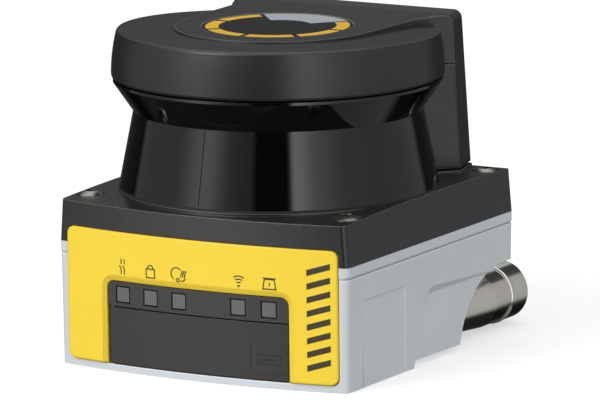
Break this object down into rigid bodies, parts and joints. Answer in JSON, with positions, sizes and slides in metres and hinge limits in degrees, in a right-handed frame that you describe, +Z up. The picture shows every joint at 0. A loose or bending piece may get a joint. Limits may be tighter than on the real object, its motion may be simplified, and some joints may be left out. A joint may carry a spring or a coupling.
{
  "type": "safety laser scanner",
  "caption": "Compact safety laser scanner: cast base, conical scan window under a capped rear tower, coloured front bezel with indicators and service flap, round cable connector.",
  "frame": {"origin": "centre of the flat base face, midway between the front and rear corners of the housing", "axes": "+Z up along the scan axis, -Y towards the coloured front, +X to the side that holds the cable connector"},
  "size_m": [0.0808, 0.0976, 0.08],
  "materials": {
    "cast_silver": "satin silver-grey paint on a die casting",
    "ring_silver": "satin silver-grey paint on a die casting",
    "cover_black": "fine-textured black plastic",
    "tower_black": "smooth black plastic",
    "cap_black": "fine-textured black plastic",
    "rear_black": "fine-textured black plastic",
    "window_black": "polished dark optical plastic that only infrared light passes",
    "lens_dark": "smoked display lens",
    "ring_yellow": "printed yellow segments",
    "sector_grey": "printed grey sector",
    "bezel_yellow": "satin yellow plastic",
    "panel_dark": "dark grey satin plastic",
    "flap_dark": "dark grey satin plastic",
    "led_dark": "unlit smoked indicator lens",
    "gasket_black": "black sealing rubber",
    "insert_black": "black plastic",
    "nickel": "nickel plated brass",
    "screw_nickel": "nickel plated steel",
    "steel": "bright steel",
    "gold": "gold plated contacts",
    "machined_grey": "machined aluminium",
    "bell_grey": "zinc plated steel",
    "copper": "copper winding over iron teeth",
    "mirror": "first-surface mirror",
    "encoder": "translucent encoder disc",
    "lens_clear": "polished receiving lens",
    "board_green": "lacquered circuit board"
  },
  "bodies": {
    "scanner": {"base_housing": "cast_silver", "housing_gasket": "gasket_black", "cast_ring": "ring_silver", "optics_cover": "cover_black", "window_seal": "gasket_black", "scan_window": "window_black", "window_frame": "tower_black", "cap": "cap_black", "rear_cover": "rear_black", "display_lens": "lens_dark", "field_ring": "ring_yellow", "blind_sector": "sector_grey", "front_bezel": "bezel_yellow", "indicator_strip": "panel_dark", "light_pipe_1": "led_dark", "light_pipe_2": "led_dark", "light_pipe_3": "led_dark", "light_pipe_4": "led_dark", "light_pipe_5": "led_dark", "indicator_board": "board_green", "flap_pin": "steel", "service_socket": "steel", "connector_sleeve": "nickel", "connector_insert": "insert_black", "connector_pins": "gold", "connector_seal": "gasket_black", "corner_screws": "screw_nickel", "motor_plate": "machined_grey", "upper_bearing": "steel", "lower_bearing": "steel", "motor_stator": "copper", "optics_deck": "insert_black", "receiver_lens": "lens_clear", "laser_module": "machined_grey", "receiver_board": "board_green", "main_board": "board_green", "board_screws": "steel", "plate_screws": "steel"},
    "flap": {"port_flap": "flap_dark"},
    "mirror_rotor": {"drive_shaft": "steel", "motor_bell": "bell_grey", "mirror_holder": "insert_black", "scan_mirror": "mirror", "encoder_disc": "encoder"}
  },
  "joints": [
    {"name": "flap_hinge", "type": "hinge", "parent": "scanner", "child": "flap", "pos_m": [-0.02405, -0.04256, 0.0088], "axis": [0, 0, -1], "range_deg": [0, 90]},
    {"name": "mirror_spin", "type": "hinge", "parent": "scanner", "child": "mirror_rotor", "pos_m": [0, -0.0039, 0.03], "axis": [0, 0, 1], "continuous": true}
  ]
}
